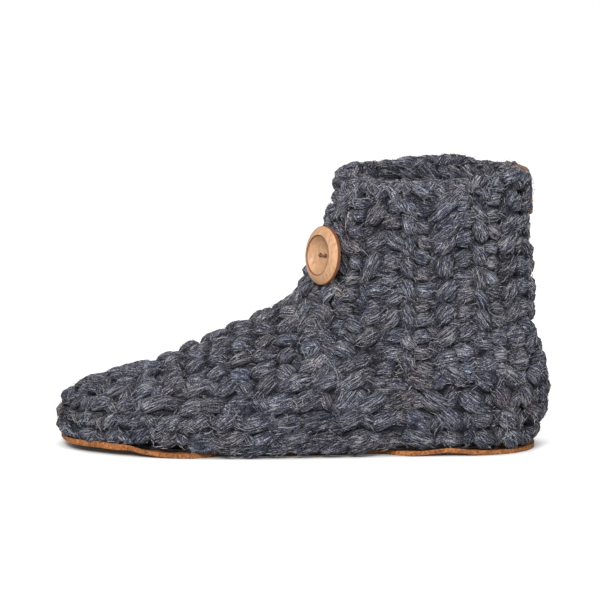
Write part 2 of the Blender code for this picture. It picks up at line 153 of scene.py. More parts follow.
def select_only(obj):
    """Makes obj the one selected and active object."""
    deselect()
    obj.select_set(True)
    bpy.context.view_layer.objects.active = obj


def smooth_step(low, high, value):
    share = min(1.0, max(0.0, (value - low) / (high - low)))
    return share * share * (3 - 2 * share)


def merged_copy(node, name):
    """A copy of a CAD node whose corners are joined, so that it can be shaped further."""
    source = NODES[node]
    obj = bpy.data.objects.new(name, source.data.copy())
    bpy.context.scene.collection.objects.link(obj)
    obj.data.materials.clear()
    select_only(obj)
    bpy.ops.object.mode_set(mode="EDIT")
    bpy.ops.mesh.select_all(action="SELECT")
    bpy.ops.mesh.remove_doubles(threshold=0.00001)
    bpy.ops.object.mode_set(mode="OBJECT")
    return obj


class Wall:
    """The faces of a CAD node: its nearest points, with smoothed normals."""

    def __init__(self, node):
        obj = merged_copy(node, "guide")
        mesh = obj.data
        mesh.calc_loop_triangles()
        self.points = [v.co.copy() for v in mesh.vertices]
        self.normals = [v.normal.copy() for v in mesh.vertices]
        self.faces = [tuple(t.vertices) for t in mesh.loop_triangles]
        self.tree = BVHTree.FromPolygons(self.points, self.faces)
        bpy.data.objects.remove(obj)
        bpy.data.meshes.remove(mesh)

    def smooth(self, place, face):
        corners = self.faces[face]
        weights = poly_3d_calc([self.points[c] for c in corners], place)
        normal = Vector()
        for corner, weight in zip(corners, weights):
            normal += self.normals[corner] * weight
        return normal.normalized()

    def touch(self, point):
        """The nearest point of the wall, and the normal there."""
        place, _, face, _ = self.tree.find_nearest(point)
        return place, self.smooth(place, face)

    def hit(self, origin, direction):
        """Where a ray first meets the wall, and the normal there, or None."""
        place, _, face, _ = self.tree.ray_cast(origin, direction)
        return (place, self.smooth(place, face)) if place else None


class Finish:
    """A material made from nodes, with a method for each kind of node that the finishes share."""

    def __init__(self, name, roughness, specular=0.25):
        self.material = bpy.data.materials.new(name)
        self.material.use_nodes = True
        self.nodes, self.links = self.material.node_tree.nodes, self.material.node_tree.links
        self.shader = self.nodes["Principled BSDF"]
        self.shader.inputs["Roughness"].default_value = roughness
        self.shader.inputs["Specular IOR Level"].default_value = specular

    def node(self, kind, sockets, **settings):
        """A new node. sockets gives each input's value, or the socket that feeds it."""
        made = self.nodes.new("ShaderNode" + kind)
        for name, value in settings.items():
            setattr(made, name, value)
        for name, value in sockets.items():
            if isinstance(value, bpy.types.NodeSocket):
                self.links.new(value, made.inputs[name])
            else:
                made.inputs[name].default_value = value
        return made

    def place(self):
        """The place on the piece, in its own coordinates."""
        return self.node("TexCoord", {}).outputs["Object"]

    def tone(self):
        """The tone that each strand or hair was given, with the strands' painted shade in it."""
        return self.node("Attribute", {}, attribute_name="tone").outputs["Color"]

    def noise(self, vector, scale, detail=3.0, roughness=0.55, distortion=0.0):
        sockets = {"Vector": vector, "Scale": scale, "Detail": detail, "Roughness": roughness}
        return self.node("TexNoise", {**sockets, "Distortion": distortion}).outputs["Fac"]

    def stretched(self, vector, scale, place=(0, 0, 0)):
        return self.node("Mapping", {"Vector": vector, "Scale": scale, "Location": place}).outputs["Vector"]

    def ramp(self, factor, stops):
        """A colour ramp through (place, colour) stops. A plain number is a grey."""
        made = self.node("ValToRGB", {"Fac": factor})
        elements = made.color_ramp.elements
        while len(elements) < len(stops):
            elements.new(0.5)
        for element, (place, colour) in zip(elements, stops):
            element.position = place
            element.color = (colour,) * 3 + (1,) if isinstance(colour, float) else (*colour, 1)
        return made.outputs["Color"]

    def mixed(self, factor, a, b, kind="MIX"):
        """Colours a and b, each a socket or a plain colour, mixed by a socket or a number."""
        a, b = ((*colour, 1) if isinstance(colour, tuple) else colour for colour in (a, b))
        return self.node("Mix", {0: factor, 6: a, 7: b}, data_type="RGBA", blend_type=kind).outputs[2]

    def product(self, body, *shades):
        """The colour body, multiplied by each shade."""
        for shade in shades:
            body = self.mixed(1.0, body, shade, "MULTIPLY")
        return body

    def relief(self, height, strength, depth):
        bump = self.node("Bump", {"Strength": strength, "Distance": depth, "Height": height})
        self.links.new(bump.outputs["Normal"], self.shader.inputs["Normal"])

    def done(self, colour):
        """The material, with this colour."""
        self.links.new(colour, self.shader.inputs["Base Color"])
        return self.material


def wool_material(yarn):
    """Marled yarn: fibres run along each strand, dark, main and light, in patches of changing tint."""
    wool = Finish("wool yarn", 0.95, 0.08)
    dark, middle, light = tuple(yarn.dark), tuple(yarn.middle), tuple(yarn.light)
    along = wool.node("UVMap", {}, uv_map="strand").outputs["UV"]
    place = wool.place()
    fine = wool.noise(wool.stretched(along, (56, 3.6, 1)), 1.0, 2.0, 0.65, 0.3)
    broad = wool.noise(wool.stretched(along, (10, 1.6, 1), (3, 7, 0)), 1.0, 2.0)
    stray = wool.noise(wool.stretched(along, (38, 2.4, 1), (11, 2, 0)), 1.0, 1.0, 0.5, 0.7)
    grouped = wool.noise(wool.stretched(place, (48, 48, 48), (2, 5, 1)), 1.0, 1.0)
    speck = wool.noise(place, 1600.0, 1.0, 0.6)
    patch = wool.noise(place, 60.0, 2.0)
    body = wool.product(
        wool.ramp(fine, ((0.385, dark), (0.45, middle), (0.53, middle), (0.615, light))),
        wool.ramp(broad, ((0.32, 0.62), (0.66, 1.30))),
        wool.ramp(speck, ((0.40, 0.30), (0.60, 1.70))),
        wool.ramp(patch, ((0.38, (0.97, 0.98, 1.03)), (0.52, 1.0), (0.66, (1.05, 1.0, 1.0)))),
    )
    wisps = wool.product(
        wool.ramp(stray, ((0.58, 0.0), (0.64, 0.9))), wool.ramp(grouped, ((0.44, 0.12), (0.60, 1.0)))
    )
    wool.relief(fine, 1.0, 0.0018)
    # The tone carries painted shade: strand sides and ends, the filling, the crease and the inside of the collar are
    # darkened.
    return wool.done(wool.product(wool.mixed(wisps, body, light), wool.tone()))


def hair_material(yarn):
    hairs = Finish("loose hair", 0.85, 0.1)
    return hairs.done(hairs.product(tuple(yarn.light), hairs.tone()))


def felt_material(name, colour):
    felt = Finish(name, 0.95)
    place = felt.place()
    fibre = felt.noise(place, 900.0, 4.0, 0.7)
    shade = felt.ramp(fibre, ((0.3, 0.45), (0.7, 1.5)))
    clouds = felt.ramp(felt.noise(place, 90.0, 2.0), ((0.35, 0.8), (0.65, 1.2)))
    felt.relief(fibre, 0.7, 0.0005)
    return felt.done(felt.product(tuple(colour), shade, clouds))


def suede_material(name, colour, roughness):
    """Leather with a nap: fine grain and a cloudy shade."""
    suede = Finish(name, roughness)
    place = suede.place()
    grain = suede.noise(place, 1000.0, 3.0, 0.65)
    shade = suede.ramp(grain, ((0.36, 0.35), (0.64, 1.5)))
    cloud = suede.noise(place, 110.0, 3.0)
    clouds = suede.ramp(cloud, ((0.3, (0.72, 0.66, 0.6)), (0.66, (1.18, 1.16, 1.1))))
    suede.relief(grain, 0.5, 0.0003)
    return suede.done(suede.product(tuple(colour), shade, clouds))


def taken(obj):
    """The corners, faces and UVs of a model that is copied many times, as arrays. The model itself goes."""
    mesh = obj.data
    unit = {
        "co": np.array([v.co[:] for v in mesh.vertices]),
        "loops": np.array([loop.vertex_index for loop in mesh.loops]),
        "uv": np.array([d.uv[:] for d in mesh.uv_layers.active.data]),
        "sizes": np.array([p.loop_total for p in mesh.polygons]),
    }
    bpy.data.objects.remove(obj)
    bpy.data.meshes.remove(mesh)
    return unit


def unit_strand(name, around, rings, power):
    """One strand of a stitch, from -1 to 1 along X, wide in Y and thick in Z, with shallow ribs along it."""
    deselect()
    bpy.ops.mesh.primitive_uv_sphere_add(segments=around, ring_count=rings, radius=1, calc_uvs=True)
    obj = bpy.context.object
    obj.name = name
    bpy.ops.object.mode_set(mode="EDIT")
    bpy.ops.mesh.select_all(action="SELECT")
    bpy.ops.transform.rotate(value=math.pi / 2, orient_axis="Y", center_override=(0, 0, 0))
    bpy.ops.object.mode_set(mode="OBJECT")
    rib_height = 0.055
    for v in obj.data.vertices:
        u, y, z = v.co
        radius = math.hypot(y, z)
        if radius < 1e-6:
            continue
        full = (1 - abs(u) ** power) ** (1 / power) if abs(u) < 1 else 0.0
        angle = math.atan2(z, y)
        rib = 1 + rib_height * math.cos(angle * around / 2)
        v.co.y = y / radius * full * rib
        v.co.z = z / radius * full * rib
    return taken(obj)


class Strands:
    """Collects strands laid on the wall and joins them into one mesh."""

    def __init__(self, unit, rng):
        self.wall = wall()
        self.unit = unit
        self.rng = rng
        self.co, self.uv, self.tone = [], [], []
        self.crests = []

    def lay(self, centre, along, length, width, thick, lift=0.0, dive=0.3, tone=1.0, bend=0.0, deepest=0.006):
        """Lays one strand on the wall: its crest at the wall's face plus lift, its ends sunk by dive of thick.
        No part of it lies deeper in the wall than deepest."""
        place, normal = self.wall.touch(centre)
        along = (along - normal * along.dot(normal)).normalized()
        across = normal.cross(along)
        unit = self.unit["co"]
        twist = self.rng.uniform(-0.5, 0.5)
        size = self.rng.uniform(0.93, 1.07, 3)
        points = np.empty_like(unit)
        for n, (u, v, w) in enumerate(unit):
            turn = twist * u
            v, w = v * math.cos(turn) - w * math.sin(turn), v * math.sin(turn) + w * math.cos(turn)
            side = v * width / 2 * size[1] + bend * (1 - u * u)
            spot, out = self.wall.touch(place + along * (u * length / 2 * size[0]) + across * side)
            depth = max(-deepest, (w - 1) * thick / 2 * size[2] - dive * thick * abs(u) ** 2.2 + lift)
            points[n] = keep_off(spot + out * min(depth, room_under_trim(spot, out)))
        self.co.append(points)
        shift = self.rng.uniform(0, 40, 2)
        self.uv.append(self.unit["uv"] * (width / 0.009, length / 0.016) + shift)
        # Painted shade: each strand's tone is darker down its sides and towards its ends, and lighter at its crest.
        painted_shade = 0.02 + 1.06 * np.clip((unit[:, 2] + 0.20) / 0.92, 0, 1) - 0.15 * np.abs(unit[:, 0]) ** 3
        self.tone.append(painted_shade[:, None] * np.asarray(tone))
        self.crests.append((place, along, across, normal, length, width, lift))

    def build(self, name, material):
        """The joined mesh as one piece with its UV map and tones."""
        co, uv, tone = (np.concatenate(parts) for parts in (self.co, self.uv, self.tone))
        return joined(name, self.unit, co, uv, tone, material)


def joined(name, unit, co, uv, tone, material):
    """A smooth mesh piece of many copies of one unit, from all their corners, UVs and tones."""
    size = len(unit["co"])
    count = len(co) // size
    loops = np.concatenate([unit["loops"] + n * size for n in range(count)])
    sizes = np.tile(unit["sizes"], count)
    mesh = bpy.data.meshes.new(name)
    mesh.vertices.add(len(co))
    mesh.vertices.foreach_set("co", co.astype(np.float32).ravel())
    mesh.loops.add(len(loops))
    mesh.loops.foreach_set("vertex_index", loops.astype(np.int32))
    mesh.polygons.add(len(sizes))
    mesh.polygons.foreach_set("loop_start", (np.cumsum(sizes) - sizes).astype(np.int32))
    if uv is not None:
        layer = mesh.uv_layers.new(name="strand")
        layer.uv.foreach_set("vector", uv.astype(np.float32).ravel())
    shades = mesh.attributes.new("tone", "FLOAT_COLOR", "POINT")
    colours = np.ones((len(co), 4), np.float32)
    colours[:, :3] = tone.reshape(len(co), -1)
    shades.data.foreach_set("color", colours.ravel())
    mesh.update()
    mesh.validate()
    mesh.shade_smooth()
    mesh.materials.append(material)
    obj = bpy.data.objects.new(name, mesh)
    bpy.context.scene.collection.objects.link(obj)
    return obj


SHARED = {}


def wall(node="upper"):
    """The faces of a CAD node, the knit wall's unless another is named, read once."""
    if node not in SHARED:
        SHARED[node] = Wall(node)
    return SHARED[node]


def from_side(x, z, side):
    """Where the outer face lies at x and z, seen from the side -1 or 1 along Y, and its normal, or None."""
    return wall().hit(Vector((x, side * RAY_START, z)), Vector((0, -side, 0)))


def from_around(out, z):
    """Where the shaft's outer face lies at height z, in this direction from its middle, and its normal."""
    return wall().hit(Vector((SHAFT_MIDDLE, 0, z)) + out * RAY_START, -out)


def turned(angle):
    """The level direction at this angle from X."""
    return Vector((math.cos(angle), math.sin(angle), 0))


def backwards(normal):
    """The direction along a face with this normal that leads most directly to the heel."""
    return (Vector((1, 0, 0)) - normal * normal.x).normalized()


# Lift of the leather's edge along X, on the outer side, as it curls and ripples at the toe and the heel
EDGE_LIFTS = (
    (-0.127, 0.0016), (-0.119, 0.0000), (-0.098, 0.0000), (-0.0904, 0.0014), (-0.082, 0.0006),
    (-0.060, 0.0002), (-0.045, 0.0), (0.045, 0.0), (0.060, 0.0006), (0.0770, 0.0022), (0.088, 0.0006),
    (0.105, 0.0000), (0.121, 0.0000),
)


def edge_wave(x, y):
    """How far the sole's edge is lifted at this place by its waves. The inner side's lie further back."""
    x = x - smooth_step(0.0, 0.03, y) * 0.012
    for (low, a), (high, b) in zip(EDGE_LIFTS, EDGE_LIFTS[1:]):
        if low <= x <= high:
            return bpy.context.scene.slipper_trim.wave * (a + (b - a) * smooth_step(low, high, x))
    return bpy.context.scene.slipper_trim.wave * (EDGE_LIFTS[0][1] if x < 0 else EDGE_LIFTS[-1][1])


def keep_off(p):
    """The point, raised where it would pass through the leather or the floor."""
    if p.z > 0.012:
        return p
    clear = 0.0004
    hit = wall("sole").tree.ray_cast(Vector((p.x, p.y, 0.05)), -UP)[0]
    least = hit.z + edge_wave(p.x, p.y) + clear if hit else clear
    p.z = max(p.z, least)
    return p


def trim_tree():
    """The faces of the button and the collar tab, which the wool passes under."""
    if "trim" not in SHARED:
        points, faces = [], []
        for node in ("button", "collar_tab"):
            mesh = NODES[node].data
            mesh.calc_loop_triangles()
            faces += [tuple(i + len(points) for i in t.vertices) for t in mesh.loop_triangles]
            points += [v.co.copy() for v in mesh.vertices]
        SHARED["trim"] = BVHTree.FromPolygons(points, faces)
    return SHARED["trim"]


def room_under_trim(spot, out):
    """How far from the wall a strand may rise at this spot before it meets the button or the tab."""
    deep = 0.008
    if spot.z < 0.080 or not (spot.x > 0.100 or (spot.x < 0.030 and spot.y < 0)):
        return 1.0
    reached = trim_tree().ray_cast(spot - out * deep, out, 0.020)[3]
    return 1.0 if reached is None else reached - deep - 0.0003


def meridian(origin, outward, top, step=0.001):
    """Points and normals up the wall's outer face, in the upright plane through origin along outward."""
    guide = wall()
    start = guide.hit(origin + outward * 0.3 + UP * BAND_FLOOR, -outward)
    sideways = UP.cross(outward)
    line = [start]
    for _ in range(200):
        place, normal = line[-1]
        climb = normal.cross(sideways).normalized()
        place, normal = guide.touch(place + climb * step)
        reached = (place - origin).dot(outward)
        if reached < 0.0005 or place.z > top or climb.z < -0.2:
            break
        line.append((place, normal))
    return line


def foot_lines(spacing=0.004):
    """Lines up the foot's wall at even steps round its edge: (kind, outward, line), from the heel's back
    along the outer side, round the toe and along the inner side, back to the heel."""
    lines = []
    straight = HEEL_TURN.x - TOE_TURN.x
    toe_steps = round(math.pi * 0.045 / spacing)
    heel_steps = round(math.pi * 0.042 / spacing / 2)
    side_steps = round(straight / spacing)

    for n in range(heel_steps):
        lines.append(("heel", HEEL_TURN, turned(-math.pi / 2 * n / heel_steps)))
    for n in range(side_steps):
        lines.append(("side", HEEL_TURN.lerp(TOE_TURN, n / side_steps), turned(-math.pi / 2)))
    for n in range(toe_steps):
        lines.append(("toe", TOE_TURN, turned(-math.pi / 2 - math.pi * n / toe_steps)))
    for n in range(side_steps):
        lines.append(("side", TOE_TURN.lerp(HEEL_TURN, n / side_steps), turned(math.pi / 2)))
    for n in range(heel_steps):
        lines.append(("heel", HEEL_TURN, turned(math.pi / 2 - math.pi / 2 * n / heel_steps)))
    return [(kind, meridian(origin, out, 0.16)) for kind, origin, out in lines]


def walk(points, pitch, start=0.0):
    """Places along a line of points at each pitch, with the direction there."""
    places = []
    reached, wanted = 0.0, start
    for a, b in zip(points, points[1:]):
        span = (b - a).length
        while span > 0 and wanted <= reached + span:
            places.append((a.lerp(b, (wanted - reached) / span), (b - a) / span))
            wanted += pitch
        reached += span
    return places


def in_shaft(p):
    """Whether a place lies behind the crease where the shaft begins."""
    share = (CREASE_TOP.z - p.z) / (CREASE_TOP.z - CREASE_FOOT.z)
    return p.x > CREASE_TOP.x + (CREASE_FOOT.x - CREASE_TOP.x) * share


def slanted(along, normal, degrees):
    """The direction along, turned upwards on the wall by this angle."""
    rise = normal.cross(along)
    if rise.z < 0:
        rise = -rise
    angle = math.radians(degrees)
    return along * math.cos(angle) + rise * math.sin(angle)


def yarn_tone(rng):
    """A strand's own brightness and tint, as red, green and blue shares."""
    bright = rng.normal(1.0, 0.12)
    tint = rng.normal(0.0, 0.032)
    return np.clip(np.array((bright * (1 + tint), bright, bright * (1 - tint))), 0.55, 1.6)


def towards_heel(p, along):
    """The direction along, pointing to the heel on both sides of the foot."""
    return along if along.x > 0 or (abs(along.x) < 0.3 and along.y * p.y < 0) else -along


def lay_band(strands, lines, yarn, rng):
    """The rows that run right round the foot, parallel to the sole."""
    guide = wall()
    heel_drops = (0.0022, 0.0016, 0.0010, 0.0004)
    toe_drops = (0.0022, -0.0010, 0.0006, 0.0012)
    for k in range(yarn.rows):
        up = max(0, round((k + 0.5) * yarn.row / 0.001) - 6)
        bottom = k == 0
        row = [line[min(up, len(line) - 1)][0] for _, line in lines]
        row.append(row[0])
        length = sum((b - a).length for a, b in zip(row, row[1:]))
        count = round(length / yarn.pitch)
        pitch = length / count
        for place, along in walk(row, pitch, pitch * (0.5 if k % 2 else 0.05))[:count]:
            normal = guide.touch(place)[1]
            along = towards_heel(place, along)
            place = place + along * rng.normal(0, 0.0014) + UP * rng.normal(0, 0.0010)
            back = smooth_step(0.050, 0.066, place.x)
            heel = smooth_step(0.078, 0.094, place.x)
            middle = smooth_step(-0.075, -0.045, place.x) * (1 - back)
            lean = 31 - 7 * middle - 66 * back + rng.normal(0, 9)
            long = 0.0170 - 0.0025 * heel + 0.0030 * middle - 0.0015 * smooth_step(-0.08, -0.12, place.x)
            wide = 0.0122 - 0.0008 * middle + 0.0008 * bottom
            toe = smooth_step(-0.085, -0.115, place.x)
            drop = heel_drops[min(k, 3)] * heel + toe_drops[min(k, 3)] * toe
            tip = smooth_step(-0.108, -0.122, place.x) * bottom
            drop += 0.0008 * tip
            place = place - UP * ((0.0002 + 0.0016 * heel) * bottom - 0.0010 * tip)
            strands.lay(
                place, slanted(along, normal, lean), long * rng.uniform(0.88, 1.12), wide * rng.uniform(0.92, 1.1),
                yarn.thick, lift=drop + rng.normal(0, 0.0006), tone=yarn_tone(rng) * 0.92,
                bend=rng.normal(0, 0.0006),
            )
            beside = place + along * pitch * 0.5 + UP * rng.normal(-0.001, 0.0008)
            strands.lay(
                beside, slanted(along, normal, -lean * 1.5 + rng.normal(0, 12)), 0.0124, 0.0094, yarn.thick,
                lift=drop - 0.0016 + rng.normal(0, 0.0005), tone=yarn_tone(rng) * 0.85,
            )


def lay_skirt(strands, yarn, rng):
    """Strands that hang over the sole's edge at the middle of the foot, on both sides."""
    for side in (-1, 1):
        x = SKIRT_REACH[0]
        while x < SKIRT_REACH[1]:
            place, normal = from_side(x, 0.0034, side)
            strands.lay(
                place, slanted(Vector((1, 0, 0)), normal, 14 + rng.normal(0, 6)), 0.0190, 0.0096, yarn.thick * 0.9,
                lift=0.0004 + rng.normal(0, 0.0004), tone=yarn_tone(rng) * 0.85, dive=0.2,
            )
            x += 0.0150 * (1 + rng.normal(0, 0.06))


def lay_crease(strands, yarn, rng):
    """Strands down the soft crease where the foot meets the shaft, on both sides, darkened to 0.9 of the yarn's tone as
    painted shade in the crease.
    """
    for side in (-1, 1):
        for n in range(7):
            middle = CREASE_TOP.lerp(CREASE_FOOT, (n + 0.3) / 6)
            for shift, lean in ((-0.0035, 52), (0.0045, -48)):
                hit = from_side(middle.x + shift, middle.z, side)
                if hit:
                    place, normal = hit
                    strands.lay(
                        place, slanted(backwards(normal), normal, lean + rng.normal(0, 12)), 0.0140, 0.0100,
                        yarn.thick, lift=-0.0008 + rng.normal(0, 0.0004), tone=yarn_tone(rng) * 0.9, dive=0.3,
                    )


def lay_filler(strands, place, along, normal, yarn, rng):
    """One short strand deep in the wall, darkened to 0.62 of the yarn's tone as painted shade between the stitches."""
    strands.lay(
        place, slanted(along, normal, rng.uniform(-70, 70)), 0.0135, 0.0100, yarn.thick,
        lift=-0.0030 + rng.normal(0, 0.0003), tone=yarn_tone(rng) * 0.62, dive=0.12,
    )


def lay_under(strands, lines, yarn, rng):
    """Short strands deep between the stitches, so that no flat wall shows."""
    spacing = 0.0082
    travelled = spacing
    last = None
    for _, line in lines:
        base = line[min(12, len(line) - 1)][0]
        travelled += (base - last).length if last else 0.0
        last = base
        if travelled < spacing:
            continue
        travelled = 0.0
        up = rng.uniform(0.000, 0.006)
        while up / 0.001 < len(line):
            place, normal = line[int(up / 0.001)]
            along = Vector((1, 0, 0)) if abs(normal.x) < 0.7 else Vector((0, 1, 0))
            along = (along - normal * along.dot(normal)).normalized()
            lay_filler(strands, place, along, normal, yarn, rng)
            up += spacing * (1 + rng.normal(0, 0.08))


def lay_vamp(strands, lines, yarn, rng):
    """The lumps above the rows, over the toes and the instep, up to the crease."""
    band = round(yarn.rows * yarn.row / 0.001) - 8
    step = 0.0114
    travelled = 0.0
    last = None
    turn = 0
    for kind, line in lines:
        if len(line) <= band or kind == "heel":
            last = None
            continue
        base = line[band][0]
        if last is not None:
            travelled += (base - last).length
        last = base
        if travelled < (step if kind == "side" else step * 1.25):
            continue
        travelled = 0.0
        turn += 1
        rest = line[band:]
        high = next((n for n, (p, _) in enumerate(rest) if in_shaft(p)), len(rest))
        if high < 4:
            continue
        count = max(1, round((high - 1) * 0.001 / 0.0100))
        for n in range(count):
            share = (n + (0.5 if turn % 2 else 0.25)) / count
            place, normal = rest[min(high - 1, int(share * high))]
            sideways = (UP.cross(normal)).normalized() if abs(normal.z) < 0.95 else Vector((1, 0, 0))
            along = backwards(normal) if kind == "side" else towards_heel(place, sideways)
            lean = (30 if (turn + n) % 2 else -18) + rng.normal(0, 12)
            strands.lay(
                place, slanted(along, normal, lean), 0.0128 * rng.uniform(0.9, 1.1), 0.0104 * rng.uniform(0.92, 1.08),
                yarn.thick, lift=rng.normal(0, 0.0005), tone=yarn_tone(rng), dive=0.36 - 0.14 * max(0.0, normal.z),
            )


# Columns of the shaft, which repeat round it, from the heel towards the instep.
# step: to the next column; pitch: height of a stitch; long, wide: its size; lean: degrees up from level
SHAFT_CHART = (
    # step, pitch, long, wide, lean
    (0.0104, 0.0102, 0.0112, 0.0098, 8),
    (0.0125, 0.0120, 0.0148, 0.0100, 42),
    (0.0084, 0.0080, 0.0100, 0.0082, -6),
    (0.0088, 0.0112, 0.0132, 0.0086, -58),
)
SHAFT_CHART_START = 0.0430


def shaft_ring(z):
    """Points round the shaft's outer face at height z, from the back along the outer side."""
    steps = 96
    return [from_around(turned(-2 * math.pi * n / steps), z)[0] for n in range(steps + 1)]


def lay_shaft(strands, yarn, rng):
    """Upright columns of stitches from the band to the collar, leaning by the chart. Where the columns spread,
    above the instep, more stitches fill the room between them."""
    guide = wall()
    widest = 0.0118
    ring = shaft_ring(0.105)
    girth = sum((b - a).length for a, b in zip(ring, ring[1:]))
    repeats = round(girth / sum(column[0] for column in SHAFT_CHART))
    scale = girth / (repeats * sum(column[0] for column in SHAFT_CHART))
    outer = [n for n, p in enumerate(ring[:-1]) if p.y < 0 and p.x > SHAFT_CHART_START >= ring[n + 1].x][0]
    reached = sum((b - a).length for a, b in zip(ring[:outer], ring[1 : outer + 1]))
    columns = []
    for chart in SHAFT_CHART * repeats:
        middle = walk(ring, 1.0, reached % girth)[0][0]
        columns.append((Vector((middle.x - SHAFT_MIDDLE, middle.y, 0)).normalized(), chart))
        reached += chart[0] * scale

    for c, (out, (step, pitch, long, wide, lean)) in enumerate(columns):
        z = 0.044 + pitch * (0.5 if c % 2 else 0.15) + rng.uniform(-0.001, 0.001)
        while z < 0.1425:
            first, last = from_around(out, z)[0], from_around(columns[(c + 1) % len(columns)][0], z)[0]
            spread = max(1, round((last - first).length / widest))
            for n in range(spread):
                place, normal = guide.touch(first.lerp(last, n / spread))
                if not in_shaft(place):
                    continue
                around = UP.cross(normal).normalized()
                heel = smooth_step(0.075, 0.095, place.x) * smooth_step(0.070, 0.060, z)
                side = around if around.x > 0 else -around
                strands.lay(
                    place + around * rng.normal(0, 0.0011) + UP * pitch * 0.5 * (n % 2),
                    slanted(side, normal, lean * (1 - heel) * (-0.6 if n % 2 else 1) + rng.normal(0, 11)),
                    long * rng.uniform(0.9, 1.12) * (1 + 0.15 * heel),
                    wide * rng.uniform(0.94, 1.14) * (1 + 0.2 * heel), yarn.thick,
                    lift=rng.normal(0, 0.0006), tone=yarn_tone(rng) * 1.06, dive=0.34, bend=rng.normal(0, 0.0005),
                )
            z += pitch * (1 + rng.normal(0, 0.08))


# Long light strands that lie over the shaft on its outer side: x, z, length, width, lean and brightness
LONG_STRANDS = (
    (0.0215, 0.1315, 0.0215, 0.0062, 33, 1.35),
    (0.0190, 0.1265, 0.0180, 0.0058, 30, 1.20),
    (0.0755, 0.1350, 0.0235, 0.0064, 42, 1.45),
    (0.0735, 0.1290, 0.0200, 0.0060, 38, 1.25),
    (0.0730, 0.1155, 0.0190, 0.0064, 36, 1.25),
    (0.0480, 0.1330, 0.0150, 0.0060, -58, 1.15),
    (0.0117, 0.0850, 0.0140, 0.0104, 40, 0.95),
    (0.0227, 0.0487, 0.0140, 0.0104, 35, 0.95),
)


def lay_long(strands, yarn, rng):
    """The long light strands charted above."""
    for x, z, long, wide, lean, bright in LONG_STRANDS:
        place, normal = from_side(x, z, -1)
        strands.lay(
            place, slanted(backwards(normal), normal, lean), long, wide, yarn.thick * 0.7, lift=0.0010,
            tone=yarn_tone(rng) * bright, dive=0.42,
        )


def lay_shaft_under(strands, yarn, rng):
    """Short strands deep between the shaft's columns."""
    steps = 38
    z = 0.046
    while z < 0.140:
        for n in range(steps):
            place, normal = from_around(turned(2 * math.pi * (n + rng.uniform(-0.3, 0.3)) / steps), z)
            if in_shaft(place):
                lay_filler(strands, place, UP.cross(normal).normalized(), normal, yarn, rng)
        z += 0.0085


def rim_line():
    """Points along the middle of the collar's rim, from the back along the outer side."""
    top = CAD_BOX[1][2] + 0.02
    centre = Vector((0.067, 0.0, 0.0))
    line = []
    steps = 120
    for n in range(steps + 1):
        out = turned(-2 * math.pi * n / steps)
        hits = [
            wall().hit(Vector((centre.x, centre.y, top)) + out * reach, -UP)
            for reach in np.arange(0.026, 0.056, 0.001)
        ]
        line.append(max((hit[0] for hit in hits if hit), key=lambda p: p.z))
    return line


def lay_collar(strands, yarn, rng):
    """Leaning strands over the rim, and rows inside the collar as deep as one can see, darkened as painted shade."""
    guide = wall()
    rim = rim_line()
    for shift, outwards, lean, long, wide in (
        (0.0, 0.0030, 40, 0.0170, 0.0092),
        (0.5, 0.0000, -28, 0.0150, 0.0090),
        (0.3, -0.0030, 24, 0.0165, 0.0088),
        (0.8, 0.0078, -34, 0.0150, 0.0094),
    ):
        pitch = 0.0112
        for place, along in walk(rim, pitch, pitch * shift)[:-1]:
            across = along.cross(UP).normalized()
            spot, normal = guide.touch(place + across * -outwards + UP * -abs(outwards) * 0.4)
            slope = math.radians(lean + rng.normal(0, 16))
            far = smooth_step(0.010, 0.030, spot.y) * smooth_step(0.045, 0.060, spot.x)
            far *= smooth_step(0.094, 0.080, spot.x)
            front = smooth_step(0.048, 0.026, spot.x) * smooth_step(0.135, 0.142, spot.z)
            behind = smooth_step(0.084, 0.098, spot.x) * smooth_step(0.0, 0.010, spot.y)
            near = smooth_step(0.080, 0.094, spot.x) * smooth_step(-0.006, -0.014, spot.y) * (outwards < 0.005)
            direction = along * math.cos(slope) + normal.cross(along) * math.sin(slope)
            strands.lay(
                spot, direction, long * rng.uniform(0.85, 1.1), wide * rng.uniform(0.95, 1.15), yarn.thick * 0.9,
                lift=0.0002 + 0.0012 * far + 0.0020 * front - 0.0014 * behind + 0.0022 * near
                + rng.normal(0, 0.0006),
                tone=yarn_tone(rng) * (1.15 if outwards >= 0 else 1.0), dive=0.26,
            )
    low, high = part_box("collar_tab")
    for side in (-1, 1):
        over = 0.0036 if side < 0 else 0.0016
        for reach, lift in ((0.0044, over), (0.0115, over * 0.5)):
            spot = guide.touch(Vector(((low.x + high.x) / 2 - 0.002, side * (high.y + reach), high.z)))[0]
            strands.lay(spot, Vector((1, side * 0.45, 0.1)), 0.0170, 0.0100, yarn.thick, lift=lift, tone=yarn_tone(rng))
        for z, lift in ((0.1420, over), (0.1350, over), (0.1275, over * 0.8), (0.1210, 0.0010)):
            spot = guide.touch(Vector((high.x + 0.01, side * (high.y + 0.0042), z)))[0]
            direction = Vector((-0.4, side * 0.9, -0.7 + rng.normal(0, 0.15)))
            strands.lay(spot, direction, 0.0120, 0.0094, yarn.thick, lift=lift, tone=yarn_tone(rng))
    centre = Vector((0.066, 0.0, 0.0))
    steps = 20
    z = 0.1395
    row = 0
    while z > 0.080:
        for n in range(steps):
            out = turned(2 * math.pi * (n + 0.5 * (row % 2)) / steps)
            hit = guide.hit(Vector((centre.x, centre.y, z)), out)
            if not hit:
                continue
            place, normal = hit
            along = UP.cross(normal).normalized()
            # The rows inside the collar get 0.80 of the yarn's tone: painted shade inside the opening.
            strands.lay(
                place, slanted(along, normal, (28 if row % 2 else -28) + rng.normal(0, 10)), 0.0165, 0.0104,
                yarn.thick * 0.7, lift=0.0012 + rng.normal(0, 0.0004),
                tone=yarn_tone(rng) * 0.80, dive=0.4, deepest=0.0026,
            )
        z -= 0.0088
        row += 1


